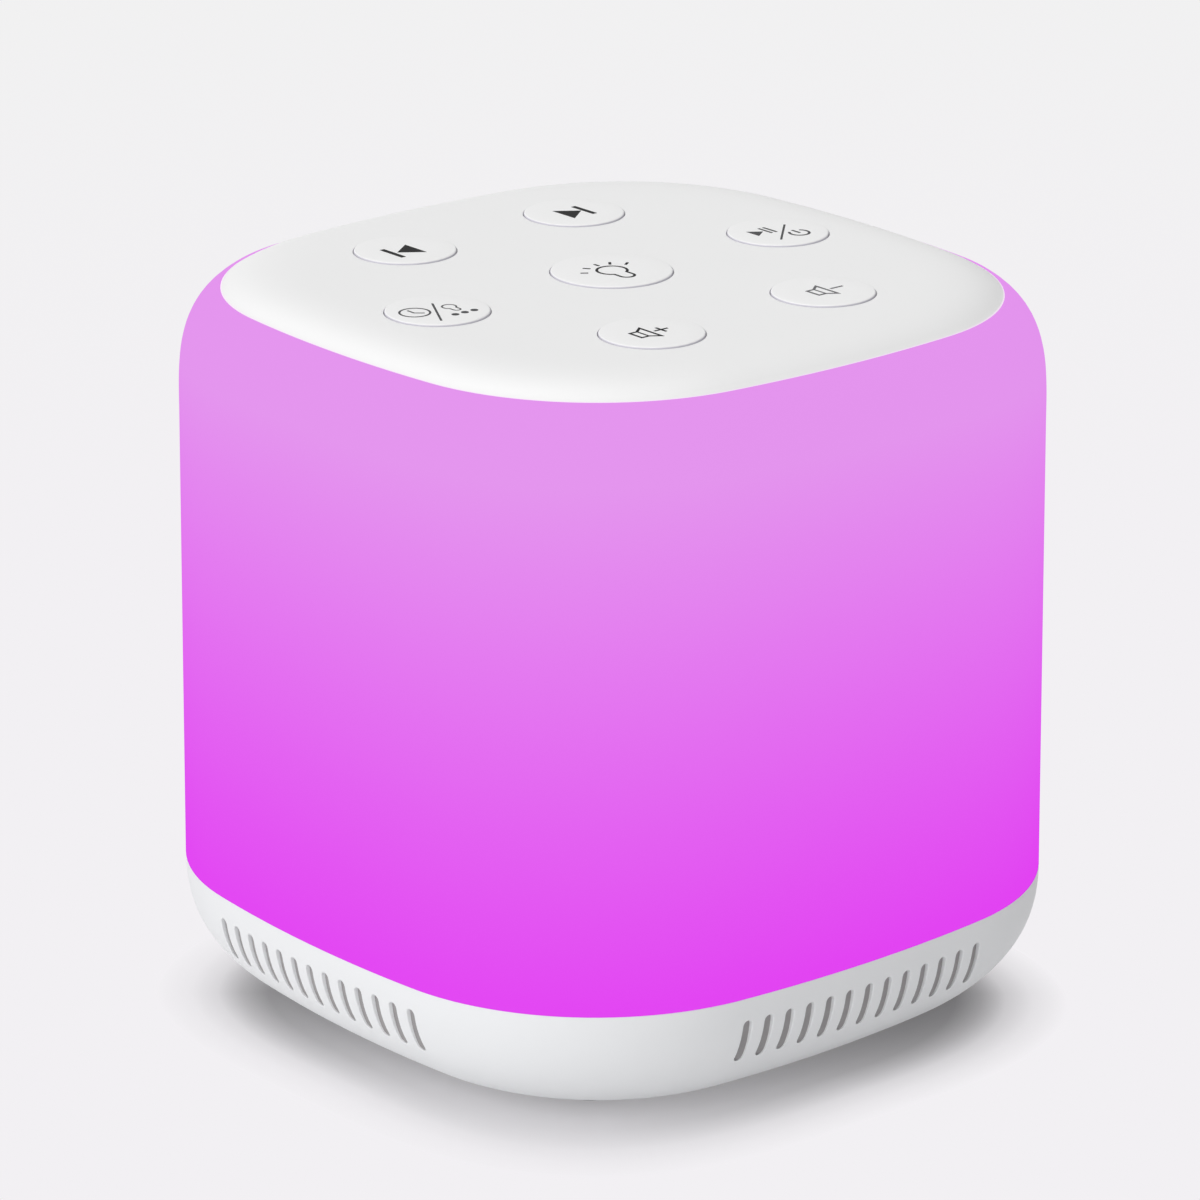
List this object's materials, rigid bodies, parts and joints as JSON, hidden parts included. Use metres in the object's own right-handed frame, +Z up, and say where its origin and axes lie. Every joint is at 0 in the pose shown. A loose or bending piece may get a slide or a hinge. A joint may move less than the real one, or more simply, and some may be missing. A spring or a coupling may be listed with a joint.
{
  "type": "white noise sound machine",
  "caption": "Round-cornered cube sound machine and night light: slotted speaker base, glowing translucent body, and a top panel of round push keys.",
  "frame": {"origin": "middle of the underside at the level of the surface that the feet stand on", "axes": "+Z up, -Y towards the front from which the key symbols read upright, +Y through the charging socket"},
  "size_m": [0.1, 0.1, 0.0993],
  "materials": {
    "housing_white": "fine satin moulding",
    "cover_white": "fine satin moulding",
    "key_white": "fine satin moulding with printed symbols",
    "diffuser_glow": "frosted translucent, lit from inside",
    "foot_rubber": "matt",
    "mesh_grey": "fine acoustic weave",
    "inner_white": "satin",
    "inner_grey": "satin",
    "steel": "bright zinc plated",
    "board_green": "solder mask",
    "board_white": "white solder mask",
    "part_black": "moulded",
    "part_ivory": "moulded",
    "led_lens": "clear lens in a white case",
    "cone_paper": "pressed paper",
    "surround_rubber": "soft",
    "spider_cloth": "treated cloth",
    "coil_copper": "varnished winding",
    "magnet_grey": "sintered ferrite",
    "foam_black": "closed-cell foam",
    "cell_foil": "laminated pouch foil",
    "wire_red": "insulation",
    "ribbon_white": "flat cable insulation",
    "capacitor_sleeve": "shrink sleeve"
  },
  "bodies": {
    "housing": {"acoustic_mesh": "mesh_grey", "base_shell": "housing_white", "battery": "cell_foil", "battery_leads": "wire_red", "battery_pad": "foam_black", "cable_conduit": "inner_white", "capacitors": "capacitor_sleeve", "case_screws": "steel", "chamber_screws": "steel", "deck": "inner_white", "diffuser": "diffuser_glow", "feet": "foot_rubber", "key_board": "board_green", "key_board_connector": "part_ivory", "key_board_screws": "steel", "led_board": "board_white", "led_board_screws": "steel", "led_leads": "wire_red", "leds": "led_lens", "main_board": "board_green", "main_board_chips": "part_black", "main_board_connector": "part_ivory", "main_board_screws": "steel", "ribbon_cable": "ribbon_white", "speaker_back_plate": "steel", "speaker_basket": "inner_grey", "speaker_chamber": "inner_white", "speaker_gasket": "foam_black", "speaker_leads": "wire_red", "speaker_magnet": "magnet_grey", "speaker_screws": "steel", "speaker_spider": "spider_cloth", "speaker_surround": "surround_rubber", "speaker_terminals": "part_ivory", "speaker_top_plate": "steel", "switch_housings": "part_black", "top_cover": "cover_white", "usb_socket": "steel", "usb_tongue": "part_black"},
    "speaker_motor": {"voice_coil": "coil_copper", "speaker_cone": "cone_paper", "dust_cap": "cone_paper"},
    "light_key": {"key_light": "key_white", "plunger_light": "part_black"},
    "play_power_key": {"key_play_power": "key_white", "plunger_play_power": "part_black"},
    "next_key": {"key_next": "key_white", "plunger_next": "part_black"},
    "previous_key": {"key_previous": "key_white", "plunger_previous": "part_black"},
    "timer_key": {"key_timer": "key_white", "plunger_timer": "part_black"},
    "volume_up_key": {"key_volume_up": "key_white", "plunger_volume_up": "part_black"},
    "volume_down_key": {"key_volume_down": "key_white", "plunger_volume_down": "part_black"}
  },
  "joints": [
    {"name": "light_press", "type": "slide", "parent": "housing", "child": "light_key", "axis": [0, 0, -1], "range_m": [0, 0.0005], "stiffness_N_per_m": 1600, "springref_m": -0.00025},
    {"name": "play_power_press", "type": "slide", "parent": "housing", "child": "play_power_key", "axis": [0, 0, -1], "range_m": [0, 0.0005], "stiffness_N_per_m": 1600, "springref_m": -0.00025},
    {"name": "next_press", "type": "slide", "parent": "housing", "child": "next_key", "axis": [0, 0, -1], "range_m": [0, 0.0005], "stiffness_N_per_m": 1600, "springref_m": -0.00025},
    {"name": "previous_press", "type": "slide", "parent": "housing", "child": "previous_key", "axis": [0, 0, -1], "range_m": [0, 0.0005], "stiffness_N_per_m": 1600, "springref_m": -0.00025},
    {"name": "timer_press", "type": "slide", "parent": "housing", "child": "timer_key", "axis": [0, 0, -1], "range_m": [0, 0.0005], "stiffness_N_per_m": 1600, "springref_m": -0.00025},
    {"name": "volume_up_press", "type": "slide", "parent": "housing", "child": "volume_up_key", "axis": [0, 0, -1], "range_m": [0, 0.0005], "stiffness_N_per_m": 1600, "springref_m": -0.00025},
    {"name": "volume_down_press", "type": "slide", "parent": "housing", "child": "volume_down_key", "axis": [0, 0, -1], "range_m": [0, 0.0005], "stiffness_N_per_m": 1600, "springref_m": -0.00025},
    {"name": "cone_travel", "type": "slide", "parent": "housing", "child": "speaker_motor", "axis": [0, 0, -1], "range_m": [-0.001, 0.001], "stiffness_N_per_m": 1000, "deforming": ["speaker_surround", "speaker_spider"]}
  ]
}
